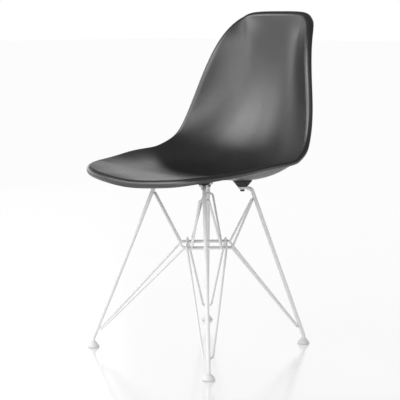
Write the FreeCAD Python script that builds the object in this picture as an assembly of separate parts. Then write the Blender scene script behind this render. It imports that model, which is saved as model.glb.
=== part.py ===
import FreeCAD, Part
import bisect
import math
import os

from FreeCAD import Vector

# A moulded one-piece shell chair on a welded wire base. Millimetres, +Z up, front towards -Y,
# the sitter's left at +X. The origin is on the floor under the middle of the chair.

# Shell: the sheet
SHELL_THICKNESS = 4.5
# Height above the floor and place fore and aft of the seat's and back's centre line, from the
# front edge to the top edge. They steer a smooth curve and lie near it, not on it.
CENTRE_LINE = [
    (-264, 450),
    (-182, 447),
    (-110, 437),
    (-46, 430),
    (10, 418),
    (60, 410),
    (108, 421),
    (152, 446),
    (186, 489),
    (215, 549),
    (238, 624),
    (250.5, 711),
    (253, 803),
]
# The edge of the sheet on the sitter's left, from the front to the top: the share of the centre
# line passed, the half width there, the rise above the centre line and the radius of the lip.
EDGE = [
    (0.000, 0, -11.5, 11),
    (0.003, 75, -5.5, 11),
    (0.015, 136, 0.5, 11),
    (0.039, 176, 9, 10),
    (0.094, 198, 13.5, 8.5),
    (0.184, 211, 28, 7),
    (0.306, 227, 50, 6),
    (0.445, 222, 66, 6),
    (0.587, 206, 65.5, 7.5),
    (0.725, 189, 73, 10),
    (0.851, 160, 77, 11),
    (0.941, 132, 54, 12),
    (0.990, 108, 16.5, 12.5),
    (1.000, 81, 3, 12.5),
    (1.000, 0, -1.5, 12.5),
]
# How the surface rises from the middle to the side edge: 1 is straight, more is flatter in the
# middle. Its height is compared at a set way out to the side.
DISH_POWER = 2.6
DISH_REACH = 200.0
# The shares of the centre line between which the dish follows the edge
DISH_ENDS = (0.10, 0.992)
# How soon the surface settles from the front's and the top's own rise to the dish
EDGE_POWER = 10.0
# The place on the centre line that the surface is laid out around, as a share of its length
DISH_MIDDLE = 0.42

# Shell: the rolled lip
LIP_TURN = 105.0
LIP_FLANGE = 2.0

# Rubber mounts
MOUNT_FRONT_X = 63.0
MOUNT_FRONT_Y = -83.0
MOUNT_REAR_X = 56.0
MOUNT_REAR_Y = 62.0
MOUNT_HEIGHT = 16.0
MOUNT_TOP_DIAMETER = 47.0
MOUNT_BOTTOM_DIAMETER = 24.0
MOUNT_RIM = 2.0

# Screws, washers and the inserts that the screws go into
SCREW_DIAMETER = 6.0
SCREW_LENGTH = 16.0
SCREW_HEAD_DIAMETER = 11.0
SCREW_HEAD_HEIGHT = 5.5
SCREW_SOCKET = 4.0
SCREW_SOCKET_DEPTH = 3.0
WASHER_DIAMETER = 15.0
WASHER_THICKNESS = 1.5
INSERT_LENGTH = 11.5
INSERT_DIAMETER = 10.0
INSERT_FLANGE_DIAMETER = 16.0
INSERT_FLANGE = 1.5
SCREW_CLEARANCE = 0.3
WASHER_CLEARANCE = 0.5
THREAD_CLEARANCE = 0.05

# Leg rods
LEG_DIAMETER = 9.5
FOOT_FRONT_X = 193.0
FOOT_FRONT_Y = -205.0
FOOT_REAR_X = 163.5
FOOT_REAR_Y = 172.5
# The height where the upright foot end turns into the slanted part
LEG_KNEE_HEIGHT = 20.5
LEG_KNEE_RADIUS = 26.0
LEG_TOP_RADIUS = 11.0
# The level run of the rod between its top bend and where it is pressed flat
LEG_NECK_RUN = 1.2
# From the screw's axis out to the corner of the rod's top bend
EYE_REACH = 22.0
EYE_DIAMETER = 22.0
EYE_THICKNESS = 4.5

# Brace wires
WIRE_DIAMETER = 5.5
GRID_Y = -5.0
GRID_HEIGHT = 256.0
# Upper wires: from the diagonal out to the wire, and half the length of its level part
UPPER_SPREAD = 35.0
UPPER_HALF_LENGTH = 60.0
LOWER_SPREAD = 47.5
LOWER_HALF_LENGTH = 58.0
GRID_BEND_RADIUS = 9.0
# The hooked ends: below the top of the rod, above the floor, and out from the rod
UPPER_HOOK_DROP = 25.0
LOWER_HOOK_HEIGHT = 47.0
HOOK_OUT = 10.5
HOOK_END = 2.0
HOOK_RADIUS = 8.0
# Left between a wire and what it is welded to
WELD_GAP = 0.03

# Glides on the ball ends of the legs
GLIDE_DIAMETER = 29.5
GLIDE_HEIGHT = 13.0
GLIDE_TOP_DIAMETER = 14.5
GLIDE_BASE = 3.0
GLIDE_FLOOR = 2.0
BALL_DIAMETER = 12.0
BALL_CLEARANCE = 0.1
GLIDE_TILT = 5.0
GLIDE_MOUTH_CLEARANCE = 0.25

# How finely the shell's surface is steered: around the edge and out from the middle
AROUND = 72
DISH_STEPS = 1000
OUTWARD = [0.0, 0.03, 0.09, 0.18, 0.27, 0.36, 0.45, 0.54, 0.63, 0.72, 0.81, 0.885, 0.94, 0.977]
LIP_STEPS = 6

UP = Vector(0, 0, 1)


def blend(points, share):
    """A point on the smooth curve that the given points steer."""
    spans = len(points) - 3
    place = min(max(share, 0.0), 1.0) * spans
    first = min(int(place), spans - 1)
    f = place - first
    weights = (
        (1 - f) ** 3 / 6,
        (3 * f**3 - 6 * f * f + 4) / 6,
        (-3 * f**3 + 3 * f * f + 3 * f + 1) / 6,
        f**3 / 6,
    )
    size = len(points[0])
    near = points[first : first + 4]
    return [sum(w * p[k] for w, p in zip(weights, near)) for k in range(size)]


def run_on(points):
    """The steering points with one more past each end, so that the curve reaches the ends."""
    start = [2 * a - b for a, b in zip(points[0], points[1])]
    end = [2 * a - b for a, b in zip(points[-1], points[-2])]
    return [start] + [list(p) for p in points] + [end]


def edge_ring():
    """The steering points of the whole edge: the given half and its mirror image."""

    def mirrored(point):
        return [point[0], -point[1], point[2], point[3]]

    half = [list(p) for p in EDGE]
    return [mirrored(half[1])] + half + [mirrored(half[-2])]


CENTRE_POINTS = run_on(CENTRE_LINE)
EDGE_POINTS = edge_ring()


def dish_heights():
    """The shares passed along the side edge, and how high the dish stands there at its reach."""
    shares = []
    heights = []
    for k in range(DISH_STEPS + 1):
        share, width, rise, _ = blend(EDGE_POINTS, k / DISH_STEPS)
        if DISH_ENDS[0] < share < DISH_ENDS[1]:
            shares.append(share)
            heights.append(rise / (width / DISH_REACH) ** DISH_POWER)
    return shares, heights


DISH_SHARES, DISH_HEIGHTS = dish_heights()


def line_frame(share):
    """A point of the centre line and its normal on the sitter's side; straight on past the ends."""
    step = 0.001
    inside = min(max(share, 0.0), 1.0)
    low = max(inside - step, 0.0)
    high = min(inside + step, 1.0)
    a = blend(CENTRE_POINTS, low)
    b = blend(CENTRE_POINTS, high)
    slope = [(q - p) / (high - low) for p, q in zip(a, b)]
    length = math.hypot(slope[0], slope[1])
    here = blend(CENTRE_POINTS, inside)
    over = share - inside
    point = (here[0] + slope[0] * over, here[1] + slope[1] * over)
    return point, (-slope[1] / length, slope[0] / length)


def edge_at(turn):
    """The edge's share, half width, rise and lip at a turn from 0 to 1, from the front."""
    if turn <= 0.5:
        return blend(EDGE_POINTS, 2 * turn)
    share, width, rise, lip = blend(EDGE_POINTS, 2 - 2 * turn)
    return [share, -width, rise, lip]


def dish(x, share):
    """The dish's height above the centre line, beside a share of it."""
    shares = DISH_SHARES
    heights = DISH_HEIGHTS
    near = min(max(share, shares[0]), shares[-1])
    k = min(max(bisect.bisect_right(shares, near), 1), len(shares) - 1)
    f = (near - shares[k - 1]) / (shares[k] - shares[k - 1])
    height = heights[k - 1] + (heights[k] - heights[k - 1]) * f
    return height * abs(x / DISH_REACH) ** DISH_POWER


def sheet(turn, out):
    """A point of the seat's upper surface: out is 0 in the middle and 1 at the edge."""
    share, width, rise, _ = edge_at(turn)
    place = DISH_MIDDLE + (share - DISH_MIDDLE) * out
    point, normal = line_frame(place)
    extra = rise - dish(width, share)
    lift = dish(width * out, place) + extra * out**EDGE_POWER
    return Vector(width * out, point[0] + normal[0] * lift, point[1] + normal[1] * lift)


def sheet_frame(turn, out):
    """A point of the upper surface, its normal and the direction out along the surface."""
    step = 0.004
    place = max(out, 0.01)
    here = sheet(turn, out)
    along = sheet((turn + step) % 1.0, place) - sheet((turn - step) % 1.0, place)
    outward = sheet(turn, place) - sheet(turn, place - 0.01)
    normal = along.cross(outward).normalize() * -1
    direction = normal.cross(along).normalize()
    if direction.dot(outward) < 0:
        direction = direction * -1
    return here, normal, direction


def shell_section(turn, middle, upright):
    """The steering points from the middle of the top, over the lip, to the middle underneath."""
    first = sheet(turn, OUTWARD[1])
    first = first - upright * (first - middle).dot(upright)
    top = [middle, first]
    under = [p - upright * SHELL_THICKNESS for p in top]
    for out in OUTWARD[2:]:
        here, normal, direction = sheet_frame(turn, out)
        top.append(here)
        under.append(here - normal * SHELL_THICKNESS)
    here, normal, direction = sheet_frame(turn, 1.0)
    lip_radius = edge_at(turn)[3]
    centre = here - normal * lip_radius
    outer = []
    inner = []
    for k in range(LIP_STEPS + 1):
        angle = math.radians(LIP_TURN * k / LIP_STEPS)
        ray = normal * math.cos(angle) + direction * math.sin(angle)
        outer.append(centre + ray * lip_radius)
        inner.append(centre + ray * (lip_radius - SHELL_THICKNESS))
    down = direction * math.cos(angle) - normal * math.sin(angle)
    outer.append(outer[-1] + down * LIP_FLANGE)
    inner.append(inner[-1] + down * LIP_FLANGE)
    tip = (outer[-1] + inner[-1]) * 0.5 + down * (0.4 * SHELL_THICKNESS)
    top = steer_through(top + outer[:2]) + outer[2:]
    under = steer_through(under + inner[:2]) + inner[2:]
    return top + [tip] + under[::-1]


def steer_through(points):
    """Steering points whose curve passes through the points, flat where it starts."""
    steers = list(points)
    for k in range(3, len(points) - 1):
        steers[k] = points[k] - (points[k - 1] + points[k + 1] - points[k] * 2) * (1 / 6)
    steers[2] = (points[2] - steers[1] * 0.25 - steers[3] * (1 / 6)) * (12 / 7)
    return steers


def clamped_knots(count, degree):
    """The knots and their counts of a curve that ends on its first and last points."""
    inner = count - degree - 1
    knots = [float(k) for k in range(inner + 2)]
    mults = [degree + 1] + [1] * inner + [degree + 1]
    return knots, mults


def make_shell():
    middle, normal, _ = sheet_frame(0.0, 0.0)
    sections = [shell_section(k / AROUND, middle, normal) for k in range(AROUND)]
    across = len(sections[0])
    rows = []
    for k, here in enumerate(sections):
        before = sections[k - 1]
        after = sections[(k + 1) % AROUND]
        bend = [(a + b - c * 2) * (1 / 6) for a, b, c in zip(before, after, here)]
        rows.append([p - b for p, b in zip(here, bend)])
    knots_around = [float(k) for k in range(AROUND + 1)]
    knots_across, mults_across = clamped_knots(across, 3)
    surface = Part.BSplineSurface()
    surface.buildFromPolesMultsKnots(
        rows,
        [1] * (AROUND + 1),
        mults_across,
        knots_around,
        knots_across,
        True,
        False,
        3,
        3,
    )
    return Part.Solid(Part.Shell([surface.toShape()]))


def underside_height(shell, x, y):
    """The height of the shell's underside above a place on the floor."""
    ray = Part.makeLine(Vector(x, y, 0), Vector(x, y, shell.BoundBox.ZMax))
    return min(v.Point.z for v in shell.common(ray).Vertexes)


def revolved(points, place):
    """A solid turned about the upright line through place, from points of radius and height."""
    path = [Vector(r, 0, z) for r, z in points]
    outline = Part.Face(Part.makePolygon(path + path[:1]))
    solid = outline.revolve(Vector(0, 0, 0), UP, 360)
    solid.translate(place)
    return solid


def rounded_path(points, radii):
    """Straight runs through the points, joined by tangent arcs at the inner ones."""
    edges = []
    start = points[0]
    for k in range(1, len(points) - 1):
        corner = points[k]
        back = (points[k - 1] - corner).normalize()
        ahead = (points[k + 1] - corner).normalize()
        half = back.getAngle(ahead) / 2
        radius = radii[k - 1]
        reach = radius / math.tan(half)
        centre_way = (back + ahead).normalize()
        centre = corner + centre_way * (radius / math.sin(half))
        first = corner + back * reach
        last = corner + ahead * reach
        edges.append(Part.LineSegment(start, first).toShape())
        edges.append(Part.Arc(first, centre - centre_way * radius, last).toShape())
        start = last
    edges.append(Part.LineSegment(start, points[-1]).toShape())
    return Part.Wire(edges)


def rod(points, radii, diameter):
    """A round bar along a rounded path."""
    path = rounded_path(points, radii)
    end = Part.Circle(points[0], points[1] - points[0], diameter / 2).toShape()
    return path.makePipeShell([Part.Wire([end])], True, False)


def lying_disc(centre_top, diameter, thickness):
    return Part.makeCylinder(diameter / 2, thickness, centre_top - UP * thickness)


class Corner:
    """One leg with its foot, its mount and the plane that it stands in."""

    def __init__(self, name, foot, mount, shell):
        self.name = name
        self.foot = foot
        self.mount = mount
        self.out = (foot - mount).normalize()
        self.side = UP.cross(self.out)
        self.seat_height = underside_height(shell, mount.x, mount.y)
        self.eye_top = mount + UP * (self.seat_height - MOUNT_HEIGHT)
        axis_top = self.eye_top - UP * (LEG_DIAMETER / 2)
        self.axis_top = axis_top
        self.top_corner = axis_top + self.out * EYE_REACH
        self.knee = foot + UP * LEG_KNEE_HEIGHT

    def axis_at(self, height):
        """The point of the slanted part's axis at a height."""
        share = (height - self.knee.z) / (self.top_corner.z - self.knee.z)
        return self.knee + (self.top_corner - self.knee) * share

    def neck(self):
        """Where the rod's level run ends and its pressed part begins."""
        slant = (self.knee - self.top_corner).normalize()
        half = slant.getAngle(self.out * -1) / 2
        return self.top_corner - self.out * (LEG_TOP_RADIUS / math.tan(half) + LEG_NECK_RUN)

    def inward(self):
        """Square to the slanted part, in the leg's plane, towards the middle of the base."""
        slant = (self.top_corner - self.knee).normalize()
        return slant.cross(self.side).normalize()


def make_corners(shell):
    corners = {}
    for end, foot_x, foot_y, mount_x, mount_y in (
        ("front", FOOT_FRONT_X, FOOT_FRONT_Y, MOUNT_FRONT_X, MOUNT_FRONT_Y),
        ("rear", FOOT_REAR_X, FOOT_REAR_Y, MOUNT_REAR_X, MOUNT_REAR_Y),
    ):
        for side, sign in (("left", 1), ("right", -1)):
            name = end + "_" + side
            foot = Vector(sign * foot_x, foot_y, 0)
            mount = Vector(sign * mount_x, mount_y, 0)
            corners[name] = Corner(name, foot, mount, shell)
    return corners


def ball_centre(corner):
    return corner.foot + UP * (GLIDE_FLOOR + BALL_CLEARANCE + BALL_DIAMETER / 2)


def make_leg(corner):
    """The rod from the ball in its glide to the flattened eye under its mount."""
    ball = ball_centre(corner)
    neck = corner.neck()
    points = [ball, corner.knee, corner.top_corner, neck]
    bar = rod(points, [LEG_KNEE_RADIUS, LEG_TOP_RADIUS], LEG_DIAMETER)
    end = Part.makeSphere(BALL_DIAMETER / 2, ball)
    # where the rod is pressed flat: it thins downwards and spreads to the eye's width
    flat_start = corner.eye_top + corner.out * (WASHER_DIAMETER / 2 + WASHER_CLEARANCE)
    flat_middle = flat_start - UP * (EYE_THICKNESS / 2)
    round_end = Part.Circle(neck, corner.out, LEG_DIAMETER / 2).toShape()
    thin_end = Part.Circle(flat_middle, corner.out, EYE_THICKNESS / 2).toShape()
    thinning = Part.makeLoft([Part.Wire([round_end]), Part.Wire([thin_end])], True, True)
    half = LEG_DIAMETER / 2
    wide = EYE_DIAMETER / 2
    start = neck + UP * half
    spread = Part.makePolygon(
        [
            start + corner.side * half,
            corner.eye_top + corner.side * wide,
            corner.eye_top - corner.side * wide,
            start - corner.side * half,
            start + corner.side * half,
        ]
    )
    plate = Part.Face(spread).extrude(UP * -EYE_THICKNESS)
    eye = lying_disc(corner.eye_top, EYE_DIAMETER, EYE_THICKNESS)
    hole_top = corner.eye_top + UP * EYE_THICKNESS
    hole = lying_disc(hole_top, SCREW_DIAMETER + 2 * SCREW_CLEARANCE, 2 * LEG_DIAMETER)
    return bar.fuse([end, thinning, plate, eye]).removeSplitter().cut(hole)


def make_mount(corner, shell):
    """The rubber cone, shaped on top to the shell and hollow for its insert."""
    top = MOUNT_TOP_DIAMETER / 2
    bottom = MOUNT_BOTTOM_DIAMETER / 2
    reach = MOUNT_HEIGHT + 3 * SHELL_THICKNESS
    points = [
        (0, 0),
        (bottom, 0),
        (top, MOUNT_HEIGHT - MOUNT_RIM),
        (top, reach),
        (0, reach),
    ]
    cone = revolved(points, corner.eye_top)
    solid = cone.cut(shell).cut(insert_outer(corner))
    return min(solid.Solids, key=lambda s: s.CenterOfMass.z)


def insert_outer(corner):
    """The insert's outside: a sleeve from the eye up, with a flange at its upper end."""
    sleeve = Part.makeCylinder(INSERT_DIAMETER / 2, INSERT_LENGTH, corner.eye_top)
    flange_top = corner.eye_top + UP * INSERT_LENGTH
    return sleeve.fuse(lying_disc(flange_top, INSERT_FLANGE_DIAMETER, INSERT_FLANGE))


def make_insert(corner):
    bore = Part.makeCylinder(
        SCREW_DIAMETER / 2 + THREAD_CLEARANCE, INSERT_LENGTH, corner.eye_top
    )
    return insert_outer(corner).cut(bore)


def eye_bottom(corner):
    return corner.eye_top - UP * EYE_THICKNESS


def make_washer(corner):
    top = eye_bottom(corner)
    hole = SCREW_DIAMETER + 2 * SCREW_CLEARANCE
    ring = lying_disc(top, WASHER_DIAMETER, WASHER_THICKNESS)
    return ring.cut(lying_disc(top, hole, WASHER_THICKNESS))


def make_screw(corner):
    head_top = eye_bottom(corner) - UP * WASHER_THICKNESS
    head = lying_disc(head_top, SCREW_HEAD_DIAMETER, SCREW_HEAD_HEIGHT)
    head_bottom = head_top - UP * SCREW_HEAD_HEIGHT
    rim = [e for e in head.Edges if abs(e.CenterOfMass.z - head_bottom.z) < 0.01]
    head = head.makeFillet(min(SCREW_HEAD_HEIGHT, SCREW_HEAD_DIAMETER) / 6, rim[:1])
    shank = Part.makeCylinder(SCREW_DIAMETER / 2, SCREW_LENGTH, head_top)
    reach = SCREW_SOCKET / math.sqrt(3)
    corners = []
    for k in range(7):
        turn = k * math.pi / 3
        ray = Vector(math.cos(turn), math.sin(turn), 0)
        corners.append(head_bottom + ray * reach)
    socket = Part.Face(Part.makePolygon(corners)).extrude(UP * SCREW_SOCKET_DEPTH)
    return head.fuse(shank).removeSplitter().cut(socket)


def make_glide(corner):
    """The foot that snaps over the ball, open on top as far as it can tilt."""
    ball = ball_centre(corner)
    wide = GLIDE_DIAMETER / 2
    narrow = GLIDE_TOP_DIAMETER / 2
    outside = [
        (0, 0),
        (wide - 1, 0),
        (wide, 1),
        (wide, GLIDE_BASE),
        (narrow, GLIDE_HEIGHT),
        (0, GLIDE_HEIGHT),
    ]
    body = revolved(outside, corner.foot)
    socket = Part.makeSphere(BALL_DIAMETER / 2 + BALL_CLEARANCE, ball)
    rise = GLIDE_HEIGHT - ball.z
    lean = math.tan(math.radians(GLIDE_TILT))
    mouth = LEG_DIAMETER / 2 + GLIDE_MOUTH_CLEARANCE
    opening = Part.makeCone(mouth, mouth + lean * rise * 1.1, rise, ball)
    return body.cut(socket).cut(opening)


def make_brace(near, far, side, upper):
    """One wire over or under the middle of the base, hooked on two opposite legs."""
    layer = -0.5 if near.name == "front_right" else 0.5
    middle = Vector(0, GRID_Y, GRID_HEIGHT) + UP * (layer * (WIRE_DIAMETER + WELD_GAP))
    along = (far.foot - near.foot).normalize()
    across = UP.cross(along) * side
    spread = UPPER_SPREAD if upper else LOWER_SPREAD
    half = UPPER_HALF_LENGTH if upper else LOWER_HALF_LENGTH
    stand_off = (LEG_DIAMETER + WIRE_DIAMETER) / 2 + WELD_GAP
    ends = []
    for corner in (near, far):
        height = corner.axis_top.z - UPPER_HOOK_DROP if upper else LOWER_HOOK_HEIGHT
        rest = corner.axis_at(height) + corner.inward() * stand_off
        outward = corner.side if corner.side.dot(across) > 0 else corner.side * -1
        ends.append((rest + outward * HOOK_END, rest + outward * HOOK_OUT))
    level = [middle + across * spread - along * half, middle + across * spread + along * half]
    points = [ends[0][0], ends[0][1], level[0], level[1], ends[1][1], ends[1][0]]
    radii = [HOOK_RADIUS, GRID_BEND_RADIUS, GRID_BEND_RADIUS, HOOK_RADIUS]
    return rod(points, radii, WIRE_DIAMETER)


def main():
    os.makedirs("parts", exist_ok=True)
    shell = make_shell()
    corners = make_corners(shell)
    pieces = {"shell": shell}
    for name, corner in corners.items():
        pieces["leg_" + name] = make_leg(corner)
        pieces["shock_mount_" + name] = make_mount(corner, shell)
        pieces["glide_" + name] = make_glide(corner)
    for near, far in (("front_right", "rear_left"), ("front_left", "rear_right")):
        for side in (1, -1):
            word = "rear" if (side == 1) == (near == "front_right") else "front"
            for upper, level in ((True, "upper"), (False, "lower")):
                name = level + "_brace_" + near + "_to_" + far + "_" + word
                pieces[name] = make_brace(corners[near], corners[far], side, upper)
    pieces["mount_inserts"] = Part.Compound([make_insert(c) for c in corners.values()])
    pieces["mount_washers"] = Part.Compound([make_washer(c) for c in corners.values()])
    pieces["mount_screws"] = Part.Compound([make_screw(c) for c in corners.values()])
    for name, shape in pieces.items():
        shape.exportStep("parts/" + name + ".step")
        print(name, len(shape.Solids), shape.isValid(), round(shape.Volume))


main()
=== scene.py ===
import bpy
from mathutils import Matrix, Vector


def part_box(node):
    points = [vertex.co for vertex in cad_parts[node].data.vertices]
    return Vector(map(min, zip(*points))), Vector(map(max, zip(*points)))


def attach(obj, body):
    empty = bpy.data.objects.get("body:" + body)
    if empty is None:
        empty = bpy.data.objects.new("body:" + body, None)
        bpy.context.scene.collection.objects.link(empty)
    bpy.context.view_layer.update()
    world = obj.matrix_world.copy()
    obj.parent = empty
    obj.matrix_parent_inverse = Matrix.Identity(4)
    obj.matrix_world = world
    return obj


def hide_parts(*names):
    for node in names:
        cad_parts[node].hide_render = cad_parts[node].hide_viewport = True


bl_info = {
    "name": "Moulded Shell Chair",
    "version": (1, 0, 0),
    "blender": (4, 5, 0),
    "location": "3D View > Sidebar > Shell Chair",
    "description": "Builds a moulded plastic shell chair on a welded wire base, and its studio",
    "category": "Object",
}

import math

import bpy
import numpy as np
from mathutils import Vector

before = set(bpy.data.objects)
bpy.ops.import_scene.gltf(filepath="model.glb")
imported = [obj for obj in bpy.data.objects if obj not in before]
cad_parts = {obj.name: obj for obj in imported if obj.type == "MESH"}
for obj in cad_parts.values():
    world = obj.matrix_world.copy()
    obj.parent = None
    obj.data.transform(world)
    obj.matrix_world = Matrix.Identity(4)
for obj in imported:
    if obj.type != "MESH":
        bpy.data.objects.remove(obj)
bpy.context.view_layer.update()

MM = 0.001
CORNERS = ("front_left", "front_right", "rear_left", "rear_right")

# The seat's and back's centre line in mm, fore and aft and up, from the front edge to the top.
CENTRE_LINE = [
    (-264, 450),
    (-182, 447),
    (-110, 437),
    (-46, 430),
    (10, 418),
    (60, 410),
    (108, 421),
    (152, 446),
    (186, 489),
    (215, 549),
    (238, 624),
    (250.5, 711),
    (253, 803),
]
# The edge on the sitter's left, from front to top: share of the centre line, half width, rise
# above the centre line and radius of the lip.
EDGE = [
    (0.000, 0, -11.5, 11),
    (0.003, 75, -5.5, 11),
    (0.015, 136, 0.5, 11),
    (0.039, 176, 9, 10),
    (0.094, 198, 13.5, 8.5),
    (0.184, 211, 28, 7),
    (0.306, 227, 50, 6),
    (0.445, 222, 66, 6),
    (0.587, 206, 65.5, 7.5),
    (0.725, 189, 73, 10),
    (0.851, 160, 77, 11),
    (0.941, 132, 54, 12),
    (0.990, 108, 16.5, 12.5),
    (1.000, 81, 3, 12.5),
    (1.000, 0, -1.5, 12.5),
]
# The surface rises above the centre line with a power of the distance out to the side, so that
# it meets the side edge at its height between the two shares given first
DISH_ENDS = (0.10, 0.992)
DISH_REACH = 200.0
DISH_POWER = 2.6
EDGE_POWER = 10.0
DISH_MIDDLE = 0.42
LIP_TURN = 105.0
LIP_FLANGE = 2.0

# Centres of the feet and of the rubber mounts, left side, in mm
FEET = {"front": (193.0, -205.0), "rear": (163.5, 172.5)}
MOUNTS = {"front": (63.0, -83.0), "rear": (56.0, 62.0)}


def length_mm(name, description, default):
    """A setting that holds a length in millimetres."""
    return bpy.props.FloatProperty(
        name=name,
        description=description,
        default=default * MM,
        min=0.0,
        subtype="DISTANCE",
        unit="LENGTH",
        precision=4,
    )


def share_of_one(name, description, default):
    """A setting between 0 and 1."""
    return bpy.props.FloatProperty(
        name=name,
        description=description,
        default=default,
        min=0.0,
        max=1.0,
        subtype="FACTOR",
    )


def paint(name, description, default):
    """A setting that holds a colour."""
    return bpy.props.FloatVectorProperty(
        name=name,
        description=description,
        default=default,
        min=0.0,
        max=1.0,
        size=3,
        subtype="COLOR",
    )


class ShellSettings(bpy.types.PropertyGroup):
    """Sizes and finish of the moulded seat and back"""

    thickness: length_mm("Thickness", "Thickness of the moulded sheet", 4.5)
    flash_height: length_mm("Parting Line", "Height of the fine line around the lip", 0.12)
    grain_size: length_mm("Grain Size", "Size of the moulded grain", 0.9)
    grain_depth: length_mm("Grain Depth", "Depth of the moulded grain", 0.05)
    colour: paint("Colour", "Colour of the plastic", (0.020, 0.020, 0.021))
    roughness: share_of_one("Roughness", "Roughness of the plastic", 0.32)
    sheen: share_of_one("Sheen", "Strength of the plastic's reflections", 0.88)


class BaseSettings(bpy.types.PropertyGroup):
    """Sizes and finish of the wire base"""

    rod_diameter: length_mm("Rod Diameter", "Diameter of the legs", 9.5)
    wire_diameter: length_mm("Wire Diameter", "Diameter of the brace wires", 5.5)
    weld_size: length_mm("Weld Size", "How far a weld reaches from where two rods touch", 2.9)
    colour: paint("Coat Colour", "Colour of the powder coat", (0.85, 0.85, 0.86))
    roughness: share_of_one("Coat Roughness", "Roughness of the powder coat", 0.34)


class FootSettings(bpy.types.PropertyGroup):
    """Sizes and finish of the glides and the rubber mounts"""

    diameter: length_mm("Glide Diameter", "Diameter of the glide's foot", 29.5)
    height: length_mm("Glide Height", "Height of the glide", 13.0)
    top_diameter: length_mm("Glide Top", "Diameter of the glide's upper end", 14.5)
    base: length_mm("Glide Base", "Height of the straight part at the floor", 3.0)
    glide_colour: paint("Glide Colour", "Colour of the glides", (0.78, 0.78, 0.78))
    rubber_colour: paint("Rubber Colour", "Colour of the rubber mounts", (0.016, 0.016, 0.017))


class StudioSettings(bpy.types.PropertyGroup):
    """The camera's lens and the light of the studio"""

    lens: bpy.props.FloatProperty(
        name="Lens",
        description="Focal length of the camera in millimetres",
        default=103.93,
        min=10.0,
        unit="CAMERA",
    )
    fill: share_of_one("Room Light", "Strength of the even light from all around", 0.55)
    ceiling: share_of_one("Ceiling", "How bright the upper part of the room mirrors in gloss", 0.12)
    polish: share_of_one("Floor Polish", "How much the floor mirrors what stands on it", 0.6)


class Nodes:
    """A material's node tree, with its nodes added by short calls."""

    def __init__(self, name):
        self.material = bpy.data.materials.new(name)
        self.material.use_nodes = True
        self.tree = self.material.node_tree
        self.tree.nodes.clear()

    def add(self, kind, inputs=None, **settings):
        node = self.tree.nodes.new(kind)
        for key, value in settings.items():
            setattr(node, key, value)
        for key, value in (inputs or {}).items():
            self.feed(node.inputs[key], value)
        return node

    def feed(self, socket, value):
        if isinstance(value, bpy.types.NodeSocket):
            self.tree.links.new(value, socket)
        elif hasattr(value, "__len__") and len(value) == 3 and socket.type == "RGBA":
            socket.default_value = (*value, 1.0)
        else:
            socket.default_value = value

    def noise(self, size, detail=2.0, roughness=0.5):
        """Noise whose features are about that size, in metres."""
        place = self.add("ShaderNodeTexCoord").outputs["Object"]
        settings = {"Vector": place, "Scale": 1.0 / size, "Detail": detail, "Roughness": roughness}
        return self.add("ShaderNodeTexNoise", settings).outputs["Fac"]

    def spread(self, value, low, high, source=(0.3, 0.7)):
        """The value mapped from the source span to low and high."""
        settings = {
            "Value": value,
            "From Min": source[0],
            "From Max": source[1],
            "To Min": low,
            "To Max": high,
        }
        return self.add("ShaderNodeMapRange", settings).outputs["Result"]

    def between(self, share, first, second):
        mix = self.add("ShaderNodeMix", data_type="RGBA")
        self.feed(mix.inputs[0], share)
        self.feed(mix.inputs[6], first)
        self.feed(mix.inputs[7], second)
        return mix.outputs[2]

    def bump(self, height, distance, strength=1.0, normal=None):
        settings = {"Height": height, "Distance": distance, "Strength": strength}
        if normal is not None:
            settings["Normal"] = normal
        return self.add("ShaderNodeBump", settings).outputs["Normal"]

    def surface(self, shader):
        output = self.add("ShaderNodeOutputMaterial")
        self.tree.links.new(shader.outputs[0], output.inputs["Surface"])
        return self.material


def shade(colour, factor):
    return tuple(min(1.0, c * factor) for c in colour)


def shell_plastic(settings):
    """Satin moulded plastic with a fine even grain and faint handling marks."""
    n = Nodes("shell_plastic")
    grain = n.noise(settings.grain_size, 3.0, 0.6)
    cloud = n.noise(0.06, 3.0, 0.55)
    rubbed = n.noise(0.011, 4.0, 0.6)
    gloss = n.add("ShaderNodeMath", {0: cloud, 1: rubbed}, operation="ADD").outputs[0]
    level = settings.roughness
    tint = n.spread(cloud, 0.0, 1.0)
    colour = n.between(tint, shade(settings.colour, 0.9), shade(settings.colour, 1.12))
    body = n.add(
        "ShaderNodeBsdfPrincipled",
        {
            "Base Color": colour,
            "Roughness": n.spread(gloss, level - 0.03, level + 0.04, (0.7, 1.3)),
            "IOR": 1.5,
            "Specular IOR Level": settings.sheen,
            "Normal": n.bump(grain, settings.grain_depth, 0.5),
        },
    )
    return n.surface(body)


def powder_coat(settings):
    """Baked white powder coat with its slight orange peel."""
    n = Nodes("powder_coat")
    peel = n.noise(0.0016, 2.0, 0.5)
    cloud = n.noise(0.05, 3.0, 0.5)
    tint = n.spread(cloud, 0.0, 1.0)
    colour = n.between(tint, shade(settings.colour, 0.975), shade(settings.colour, 1.01))
    level = settings.roughness
    body = n.add(
        "ShaderNodeBsdfPrincipled",
        {
            "Base Color": colour,
            "Roughness": n.spread(cloud, level - 0.04, level + 0.06),
            "IOR": 1.5,
            "Normal": n.bump(peel, 0.00006, 0.4),
        },
    )
    return n.surface(body)


def mount_rubber(settings):
    """Dull black moulded rubber with a little bloom."""
    n = Nodes("mount_rubber")
    grain = n.noise(0.0011, 3.0, 0.6)
    bloom = n.noise(0.012, 3.0, 0.6)
    share = n.spread(bloom, 0.0, 1.0)
    colour = n.between(share, settings.rubber_colour, shade(settings.rubber_colour, 1.7))
    body = n.add(
        "ShaderNodeBsdfPrincipled",
        {
            "Base Color": colour,
            "Roughness": n.spread(bloom, 0.62, 0.78),
            "IOR": 1.5,
            "Normal": n.bump(grain, 0.00012, 0.5),
        },
    )
    return n.surface(body)


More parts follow.
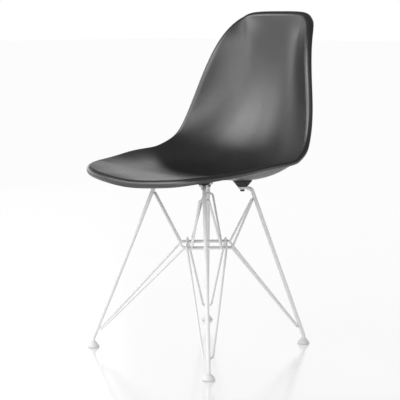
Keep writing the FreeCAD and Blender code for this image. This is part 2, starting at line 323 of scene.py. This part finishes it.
def glide_plastic(settings):
    """White nylon, darker in patches where it meets the floor: painted shade at the floor line,
    mixed with scuffs.
    """
    n = Nodes("glide_plastic")
    scuff = n.noise(0.0022, 4.0, 0.65)
    place = n.add("ShaderNodeTexCoord").outputs["Object"]
    height = n.add("ShaderNodeSeparateXYZ", {"Vector": place}).outputs["Z"]
    # the lowest few mm are darkened in patches: painted shade where the glide meets the floor,
    # broken up by scuff noise
    low = n.spread(height, 1.0, 0.0, (0.0008, 0.004))
    scuff_and_floor_shade = n.add("ShaderNodeMath", {0: low, 1: scuff}, operation="MULTIPLY").outputs[0]
    colour = n.between(scuff_and_floor_shade, settings.glide_colour, shade(settings.glide_colour, 0.72))
    body = n.add(
        "ShaderNodeBsdfPrincipled",
        {
            "Base Color": colour,
            "Roughness": n.spread(scuff_and_floor_shade, 0.38, 0.62, (0.0, 0.8)),
            "IOR": 1.5,
            "Normal": n.bump(scuff, 0.00008, 0.35),
        },
    )
    return n.surface(body)


def turned_steel(name, colour, roughness):
    """Plated steel with the fine rings that turning leaves."""
    n = Nodes(name)
    rings = n.noise(0.0006, 2.0, 0.5)
    stain = n.noise(0.006, 3.0, 0.6)
    tint = n.spread(stain, 0.0, 1.0)
    body = n.add(
        "ShaderNodeBsdfPrincipled",
        {
            "Base Color": n.between(tint, shade(colour, 0.85), shade(colour, 1.1)),
            "Metallic": 1.0,
            "Roughness": n.spread(stain, roughness - 0.06, roughness + 0.1),
            "Normal": n.bump(rings, 0.00003, 0.4),
        },
    )
    return n.surface(body)


def studio_floor(settings):
    """A pale polished floor that is white to the eye, keeps shadows and mirrors softly."""
    n = Nodes("studio_floor")
    path = n.add("ShaderNodeLightPath").outputs
    seen = n.add(
        "ShaderNodeMath",
        {0: path["Is Camera Ray"], 1: path["Is Glossy Ray"]},
        operation="MAXIMUM",
    )
    seen = n.add(
        "ShaderNodeMath",
        {0: seen.outputs[0], 1: path["Is Transmission Ray"]},
        operation="MAXIMUM",
    )
    paint = n.add("ShaderNodeBsdfDiffuse", {"Color": (0.82, 0.82, 0.82)})
    shadow = n.add("ShaderNodeBsdfDiffuse", {"Color": (1.0, 1.0, 1.0)})
    white = n.add("ShaderNodeEmission", {"Color": (1.0, 1.0, 1.0), "Strength": 1.0})
    cloud = n.noise(0.4, 2.0, 0.5)
    mirror = n.add(
        "ShaderNodeBsdfAnisotropic",
        {"Color": (1.0, 1.0, 1.0), "Roughness": n.spread(cloud, 0.18, 0.20)},
    )
    low = n.add("ShaderNodeLayerWeight", {"Blend": 0.5}).outputs["Facing"]
    gloss = n.spread(low, settings.polish, 0.0, (0.76, 0.88))
    polished = n.add("ShaderNodeMixShader", {0: gloss, 1: white.outputs[0], 2: mirror.outputs[0]})
    shaded = n.add("ShaderNodeMixShader", {0: 0.06, 1: polished.outputs[0], 2: shadow.outputs[0]})
    whole = n.add(
        "ShaderNodeMixShader", {0: seen.outputs[0], 1: paint.outputs[0], 2: shaded.outputs[0]}
    )
    return n.surface(whole)


def steered(points, share):
    """Points of the smooth curve that the given points steer, at shares from 0 to 1."""
    points = np.asarray(points, float)
    spans = len(points) - 3
    place = np.clip(share, 0.0, 1.0) * spans
    first = np.minimum(place.astype(int), spans - 1)
    f = (place - first)[..., None]
    weights = (
        (1 - f) ** 3 / 6,
        (3 * f**3 - 6 * f**2 + 4) / 6,
        (-3 * f**3 + 3 * f**2 + 3 * f + 1) / 6,
        f**3 / 6,
    )
    return sum(w * points[first + k] for k, w in enumerate(weights))


def run_on(points):
    """The steering points with one more past each end, so that the curve reaches the ends."""
    points = np.array(points, float)
    return np.vstack([2 * points[0] - points[1], points, 2 * points[-1] - points[-2]])


class Sheet:
    """The shell's upper surface, in mm, over a turn around the edge and a way out to it."""

    def __init__(self):
        self.line = run_on(CENTRE_LINE)
        half = np.array(EDGE, float)
        mirror = np.array([1, -1, 1, 1])
        self.half = np.vstack([half[1] * mirror, half, half[-2] * mirror])
        share, width, rise, _ = steered(self.half, np.linspace(0, 1, 4001)).T
        side = (share > DISH_ENDS[0]) & (share < DISH_ENDS[1])
        self.shares = share[side]
        self.heights = rise[side] / (width[side] / DISH_REACH) ** DISH_POWER

    def edge(self, turn):
        left = turn <= 0.5
        share = np.where(left, 2 * turn, 2 - 2 * turn)
        values = steered(self.half, share)
        values[..., 1] *= np.where(left, 1, -1)
        return values

    def centre(self, share):
        step = 0.001
        inside = np.clip(share, 0.0, 1.0)
        low = np.maximum(inside - step, 0.0)
        high = np.minimum(inside + step, 1.0)
        slope = (steered(self.line, high) - steered(self.line, low)) / (high - low)[..., None]
        point = steered(self.line, inside) + slope * (share - inside)[..., None]
        length = np.linalg.norm(slope, axis=-1, keepdims=True)
        normal = np.stack([-slope[..., 1], slope[..., 0]], -1) / length
        return point, normal

    def dish(self, x, share):
        height = np.interp(share, self.shares, self.heights)
        return height * np.abs(x / DISH_REACH) ** DISH_POWER

    def at(self, turn, out):
        edge = self.edge(turn % 1.0)
        share, width, rise = edge[..., 0], edge[..., 1], edge[..., 2]
        place = DISH_MIDDLE + (share - DISH_MIDDLE) * out
        point, normal = self.centre(place)
        extra = rise - self.dish(width, share)
        lift = self.dish(width * out, place) + extra * out**EDGE_POWER
        lifted = point + normal * lift[..., None]
        return np.stack([width * out, lifted[..., 0], lifted[..., 1]], -1)

    def frame(self, turn, out):
        """The surface's points, normals and the directions out along it."""
        step = 0.004
        place = np.maximum(out, 0.01)
        along = self.at(turn + step, place) - self.at(turn - step, place)
        outward = self.at(turn, place) - self.at(turn, place - 0.01)
        normal = unit(np.cross(outward, along))
        direction = unit(np.cross(normal, along))
        flip = np.sign((direction * outward).sum(-1, keepdims=True))
        return self.at(turn, out), normal, direction * flip


def unit(vectors):
    return vectors / np.linalg.norm(vectors, axis=-1, keepdims=True)


def shell_rings(settings):
    """The rings of points from the middle of the top, over the lip, to the middle underneath."""
    thickness = settings.thickness / MM
    flash = settings.flash_height / MM
    sheet = Sheet()
    turn = np.arange(384) / 384
    ones = np.ones_like(turn)
    outs = np.linspace(0.0, 1.0, 61)[1:-1]
    top = []
    under = []
    for out in outs:
        here, normal, _ = sheet.frame(turn, out * ones)
        top.append(here)
        under.append(here - normal * thickness)
    here, normal, direction = sheet.frame(turn, ones)
    radius = sheet.edge(turn)[..., 3:4]
    centre = here - normal * radius
    outer = []
    inner = []
    # the moulds part at the widest place of the lip, which leaves a fine raised line there
    angles = sorted(set(np.linspace(0, LIP_TURN, 29)) | {88.2, 89.3, 90.7, 91.8})
    for angle in angles:
        a = math.radians(angle)
        ray = normal * math.cos(a) + direction * math.sin(a)
        proud = flash if 89 < angle < 91 else 0.0
        outer.append(centre + ray * (radius + proud))
        inner.append(centre + ray * (radius - thickness))
    down = direction * math.cos(a) - normal * math.sin(a)
    outer.append(outer[-1] + down * LIP_FLANGE)
    inner.append(inner[-1] + down * LIP_FLANGE)
    middle = (outer[-1] + inner[-1]) / 2
    half = (outer[-1] - inner[-1]) / 2
    tip = []
    for k in range(1, 8):
        a = math.pi * k / 8
        tip.append(middle + half * math.cos(a) + down * (0.3 * thickness * math.sin(a)))
    pole, pole_normal, _ = sheet.frame(np.zeros(1), np.zeros(1))
    rings = top + outer + tip + inner[::-1] + under[::-1]
    return pole[0], rings, (pole - pole_normal * thickness)[0]


def new_object(name, vertices, faces, material, body):
    mesh = bpy.data.meshes.new(name)
    mesh.from_pydata([tuple(v) for v in vertices], [], faces)
    mesh.validate()
    mesh.shade_smooth()
    mesh.materials.append(material)
    piece = bpy.data.objects.new(name, mesh)
    bpy.context.scene.collection.objects.link(piece)
    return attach(piece, body)


def capped_rings(first, rings, last):
    """Vertices and faces of closed rings with a point at each end."""
    count = len(rings[0])
    vertices = np.vstack([[first]] + list(rings) + [[last]])
    faces = []
    for k in range(count):
        faces.append((0, 1 + k, 1 + (k + 1) % count))
    for r in range(len(rings) - 1):
        low = 1 + r * count
        for k in range(count):
            after = (k + 1) % count
            faces.append((low + k, low + count + k, low + count + after, low + after))
    low = 1 + (len(rings) - 1) * count
    end = len(vertices) - 1
    for k in range(count):
        faces.append((end, low + (k + 1) % count, low + k))
    return vertices, faces


def turned_rings(outline, place, count):
    """Rings of a turned body from radii and heights in mm, about an upright line."""
    angle = np.arange(count) * 2 * math.pi / count
    rings = []
    for r, z in outline:
        ring = np.stack([r * np.cos(angle), r * np.sin(angle), np.full(count, z)], -1)
        rings.append(ring + place)
    return rings


def rounded(outline, radius, steps=5):
    """The outline with its inner corners rounded; radius is one value for each of them."""
    points = [np.array(p, float) for p in outline]
    result = [points[0]]
    for k in range(1, len(points) - 1):
        corner = points[k]
        back = unit(points[k - 1] - corner)
        ahead = unit(points[k + 1] - corner)
        if radius[k - 1] <= 0:
            result.append(corner)
            continue
        half = math.acos(np.clip(back @ ahead, -1, 1)) / 2
        reach = radius[k - 1] / math.tan(half)
        centre = corner + unit(back + ahead) * radius[k - 1] / math.sin(half)
        first = corner + back * reach - centre
        last = corner + ahead * reach - centre
        for s in range(steps + 1):
            t = s / steps
            result.append(centre + unit(first * (1 - t) + last * t) * radius[k - 1])
    result.append(points[-1])
    return result


def put_material(nodes, material):
    for name in nodes:
        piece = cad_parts[name]
        piece.data.materials.clear()
        piece.data.materials.append(material)


def node_names(start):
    return [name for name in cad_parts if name.startswith(start)]


class Leg:
    """Where one leg stands, and the line of its slanted part, in mm."""

    knee_height = 20.5
    eye_reach = 22.0

    def __init__(self, name, rod):
        end, side = name.split("_")
        sign = 1 if side == "left" else -1
        foot = FEET[end]
        mount = MOUNTS[end]
        self.foot = np.array([sign * foot[0], foot[1], 0.0])
        self.mount = np.array([sign * mount[0], mount[1], 0.0])
        self.out = unit(self.foot - self.mount)
        self.side = np.cross([0.0, 0.0, 1.0], self.out)
        self.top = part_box("leg_" + name)[1].z / MM - rod / 2
        self.knee = self.foot + [0, 0, self.knee_height]
        self.bend = self.mount + [0, 0, self.top] + self.out * self.eye_reach
        self.slant = unit(self.bend - self.knee)
        self.inward = unit(np.cross(self.slant, self.side))

    def at(self, height):
        share = (height - self.knee[2]) / (self.bend[2] - self.knee[2])
        return self.knee + (self.bend - self.knee) * share


def weld_places(rod, wire):
    """The middle, the two crossing directions and the facing of each weld, in mm."""
    legs = {name: Leg(name, rod) for name in CORNERS}
    places = []
    for leg in legs.values():
        for height in (leg.top - 25.0, 47.0):
            middle = leg.at(height) + leg.inward * (rod / 2 + 0.015)
            places.append((middle, leg.slant, leg.side, leg.inward, True))
    pairs = (("front_right", "rear_left"), ("front_left", "rear_right"))
    lines = []
    for near, far in pairs:
        along = unit(legs[far].foot - legs[near].foot)
        lines.append((along, np.cross([0.0, 0.0, 1.0], along)))
    (first, across), (second, over) = lines
    turn = np.column_stack([first[:2], -second[:2]])
    for a in (-47.5, -35.0, 35.0, 47.5):
        for b in (-47.5, -35.0, 35.0, 47.5):
            start = across * a
            other = over * b
            shares = np.linalg.solve(turn, (other - start)[:2])
            middle = start + first * shares[0] + np.array([0.0, -5.0, 256.0])
            places.append((middle, first, second, np.array([0.0, 0.0, 1.0]), False))
    return places


class CHAIR_OT_shell(bpy.types.Operator):
    """Build the one-piece moulded seat and back with its rolled lip"""

    bl_idname = "chair.shell"
    bl_label = "Shell"

    def execute(self, context):
        settings = context.scene.chair_shell
        first, rings, last = shell_rings(settings)
        vertices, faces = capped_rings(first, rings, last)
        piece = new_object("moulded_shell", vertices * MM, faces, shell_plastic(settings), "chair")
        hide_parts("shell")
        return {"FINISHED"}


class CHAIR_OT_legs(bpy.types.Operator):
    """Give the four leg rods and the eight brace wires their powder coat"""

    bl_idname = "chair.legs"
    bl_label = "Legs and Braces"

    def execute(self, context):
        coat = powder_coat(context.scene.chair_base)
        put_material(node_names("leg_"), coat)
        put_material(node_names("upper_brace_") + node_names("lower_brace_"), coat)
        return {"FINISHED"}


class CHAIR_OT_welds(bpy.types.Operator):
    """Add the small smooth welds where wires cross each other and meet the legs"""

    bl_idname = "chair.welds"
    bl_label = "Welds"

    def execute(self, context):
        settings = context.scene.chair_base
        rod = settings.rod_diameter / MM
        wire = settings.wire_diameter / MM
        size = settings.weld_size / MM
        vertices = []
        faces = []
        for middle, first, second, facing, hook in weld_places(rod, wire):
            reach = size * (1.15 if hook else 0.9)
            first = unit(first - facing * (first @ facing))
            second = unit(np.cross(facing, first))
            start = len(vertices)
            outline = []
            for k in range(1, 12):
                a = math.pi * k / 12
                outline.append((reach * math.sin(a), reach * 0.42 * math.cos(a)))
            rings = turned_rings(outline, np.zeros(3), 20)
            points, quads = capped_rings([0, 0, reach * 0.42], rings, [0, 0, -reach * 0.42])
            axes = np.stack([first, second, facing])
            vertices.extend(points @ axes + middle)
            faces.extend(tuple(i + start for i in quad) for quad in quads)
        coat = bpy.data.materials["powder_coat"]
        piece = new_object("weld_beads", np.array(vertices) * MM, faces, coat, "chair")
        return {"FINISHED"}


class CHAIR_OT_mounts(bpy.types.Operator):
    """Give the rubber mounts, inserts, washers and screws their materials"""

    bl_idname = "chair.mounts"
    bl_label = "Mounts and Screws"

    def execute(self, context):
        rubber = mount_rubber(context.scene.chair_foot)
        put_material(node_names("shock_mount_"), rubber)
        zinc = turned_steel("zinc_steel", (0.58, 0.58, 0.60), 0.36)
        put_material(["mount_inserts", "mount_washers"], zinc)
        dark = turned_steel("dark_steel", (0.07, 0.07, 0.075), 0.42)
        put_material(["mount_screws"], dark)
        return {"FINISHED"}


class CHAIR_OT_glides(bpy.types.Operator):
    """Build the four self-levelling glides with rounded edges and a hollow for the ball"""

    bl_idname = "chair.glides"
    bl_label = "Glides"

    def execute(self, context):
        settings = context.scene.chair_foot
        wide = settings.diameter / MM / 2
        narrow = settings.top_diameter / MM / 2
        tall = settings.height / MM
        base = settings.base / MM
        ball = 6.1
        centre = 8.1
        mouth = 5.5
        outside = [
            (0.5, 0.35),
            (wide * 0.62, 0.35),
            (wide * 0.70, 0.0),
            (wide, 0.0),
            (wide, base),
            (narrow, tall),
            (mouth, tall),
        ]
        outline = rounded(outside, (0.3, 0.3, 1.0, 1.6, 0.8))
        lip = math.acos(mouth / ball * 0.86)
        for k in range(9):
            a = lip - (lip + math.pi / 2) * k / 9
            outline.append((ball * math.cos(a), centre + ball * math.sin(a)))
        material = glide_plastic(settings)
        for name in CORNERS:
            end, side = name.split("_")
            x, y = FEET[end]
            foot = np.array([x if side == "left" else -x, y, 0.0])
            rings = turned_rings(outline, foot, 64)
            vertices, faces = capped_rings(
                foot + [0, 0, 0.35], rings, foot + [0, 0, centre - ball]
            )
            faces = [tuple(reversed(f)) for f in faces]
            piece = new_object("glide_foot_" + name, vertices * MM, faces, material, "glide_" + name)
            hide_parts("glide_" + name)
        return {"FINISHED"}


# The point that the lamps are aimed at, and each lamp: degrees round from the front, degrees up,
# metres away, width and height in metres, and how bright its face is
LAMP_AIM = (0.0, 0.05, 0.6)
LAMPS = {
    "main_softbox": (-30, 38, 2.4, (1.6, 0.9), 2.6),
    "main_diffuser": (-20, 29, 2.5, (2.9, 1.1), 2.5),
    "right_strip": (28, 9, 2.6, (2.5, 0.7), 2.5),
    "left_strip": (-94, 6, 2.6, (3.2, 0.6), 2.0),
}
# How steeply up, as a share of straight up, a gloss sees the white wall end and the ceiling begin
WALL_TOP = 0.36
CEILING_START = 0.50
# Half the width of the floor in metres, and how far it lies below the glides
FLOOR_REACH = 30.0
FLOOR_GAP = 0.0003


def soft_lamp(name, turn, rise, reach, size, glow):
    """A soft lamp aimed at the chair: degrees round from the front and up, metres away."""
    turn = math.radians(turn)
    rise = math.radians(rise)
    aim = Vector(LAMP_AIM)
    way = Vector((math.sin(turn) * math.cos(rise), -math.cos(turn) * math.cos(rise), math.sin(rise)))
    data = bpy.data.lights.new(name, "AREA")
    data.shape = "RECTANGLE"
    data.size, data.size_y = size
    data.energy = math.pi * size[0] * size[1] * glow
    lamp = bpy.data.objects.new(name, data)
    lamp.location = aim + way * reach
    lamp.rotation_euler = (-way).to_track_quat("-Z", "Y").to_euler()
    lamp.visible_camera = False
    bpy.context.scene.collection.objects.link(lamp)
    return lamp


def room_light(strength, ceiling):
    """Even light on the object; white to the eye, and to a gloss white low down and dim above."""
    world = bpy.data.worlds.new("studio_room")
    bpy.context.scene.world = world
    world.use_nodes = True
    tree = world.node_tree
    tree.nodes.clear()
    path = tree.nodes.new("ShaderNodeLightPath").outputs
    place = tree.nodes.new("ShaderNodeTexCoord").outputs["Generated"]
    split = tree.nodes.new("ShaderNodeSeparateXYZ")
    tree.links.new(place, split.inputs[0])
    wall = tree.nodes.new("ShaderNodeMapRange")
    wall.interpolation_type = "SMOOTHSTEP"
    tree.links.new(split.outputs["Z"], wall.inputs["Value"])
    wall.inputs["From Min"].default_value = WALL_TOP
    wall.inputs["From Max"].default_value = CEILING_START
    wall.inputs["To Min"].default_value = 1.0
    wall.inputs["To Max"].default_value = ceiling
    eye = tree.nodes.new("ShaderNodeMath")
    eye.operation = "MAXIMUM"
    tree.links.new(path["Is Camera Ray"], eye.inputs[0])
    tree.links.new(path["Is Transmission Ray"], eye.inputs[1])
    level = tree.nodes.new("ShaderNodeMix")
    tree.links.new(path["Is Glossy Ray"], level.inputs[0])
    level.inputs[2].default_value = strength
    tree.links.new(wall.outputs["Result"], level.inputs[3])
    whole = tree.nodes.new("ShaderNodeMix")
    tree.links.new(eye.outputs[0], whole.inputs[0])
    tree.links.new(level.outputs[0], whole.inputs[2])
    whole.inputs[3].default_value = 1.0
    back = tree.nodes.new("ShaderNodeBackground")
    back.inputs["Color"].default_value = (1.0, 1.0, 1.0, 1.0)
    tree.links.new(whole.outputs[0], back.inputs["Strength"])
    output = tree.nodes.new("ShaderNodeOutputWorld")
    tree.links.new(back.outputs[0], output.inputs["Surface"])


class CHAIR_OT_studio(bpy.types.Operator):
    """Add the pale floor, the soft lamps, the room light and the camera"""

    bl_idname = "chair.studio"
    bl_label = "Studio"

    def execute(self, context):
        settings = context.scene.chair_studio
        scene = context.scene
        scene.view_settings.view_transform = "Standard"
        reach = FLOOR_REACH
        corners = [(-reach, -reach, 0), (reach, -reach, 0), (reach, reach, 0), (-reach, reach, 0)]
        mesh = bpy.data.meshes.new("studio_floor")
        mesh.from_pydata(corners, [], [(0, 1, 2, 3)])
        mesh.materials.append(studio_floor(settings))
        floor = bpy.data.objects.new("studio_floor", mesh)
        floor.location.z = -FLOOR_GAP
        scene.collection.objects.link(floor)
        room_light(settings.fill, settings.ceiling)
        for name, values in LAMPS.items():
            soft_lamp(name, *values)
        data = bpy.data.cameras.new("photo_camera")
        data.sensor_width = 36.0
        data.lens = settings.lens
        data.clip_end = 100.0
        camera = bpy.data.objects.new("photo_camera", data)
        camera.location = (1.8825, -2.0255, 0.8008)
        camera.rotation_euler = (math.radians(90 - 9.01), 0.0, math.radians(43.31))
        scene.collection.objects.link(camera)
        scene.camera = camera
        return {"FINISHED"}


OPERATORS = (
    CHAIR_OT_shell,
    CHAIR_OT_legs,
    CHAIR_OT_welds,
    CHAIR_OT_mounts,
    CHAIR_OT_glides,
    CHAIR_OT_studio,
)


class CHAIR_PT_pieces(bpy.types.Panel):
    """Settings and a button for each group of pieces"""

    bl_idname = "CHAIR_PT_pieces"
    bl_label = "Moulded Shell Chair"
    bl_space_type = "VIEW_3D"
    bl_region_type = "UI"
    bl_category = "Shell Chair"

    def draw(self, context):
        layout = self.layout
        for attribute in SETTINGS:
            group = getattr(context.scene, attribute)
            box = layout.box()
            for name in group.__annotations__:
                box.prop(group, name)
        for operator in OPERATORS:
            layout.operator(operator.bl_idname)


SETTINGS = {
    "chair_shell": ShellSettings,
    "chair_base": BaseSettings,
    "chair_foot": FootSettings,
    "chair_studio": StudioSettings,
}
CLASSES = tuple(SETTINGS.values()) + OPERATORS + (CHAIR_PT_pieces,)


def register():
    for cls in CLASSES:
        bpy.utils.register_class(cls)
    for attribute, group in SETTINGS.items():
        setattr(bpy.types.Scene, attribute, bpy.props.PointerProperty(type=group))


def unregister():
    for attribute in SETTINGS:
        delattr(bpy.types.Scene, attribute)
    for cls in reversed(CLASSES):
        bpy.utils.unregister_class(cls)


def main():
    register()
    bpy.ops.chair.shell()
    bpy.ops.chair.legs()
    bpy.ops.chair.welds()
    bpy.ops.chair.mounts()
    bpy.ops.chair.glides()
    bpy.ops.chair.studio()


if __name__ == "__main__":
    main()
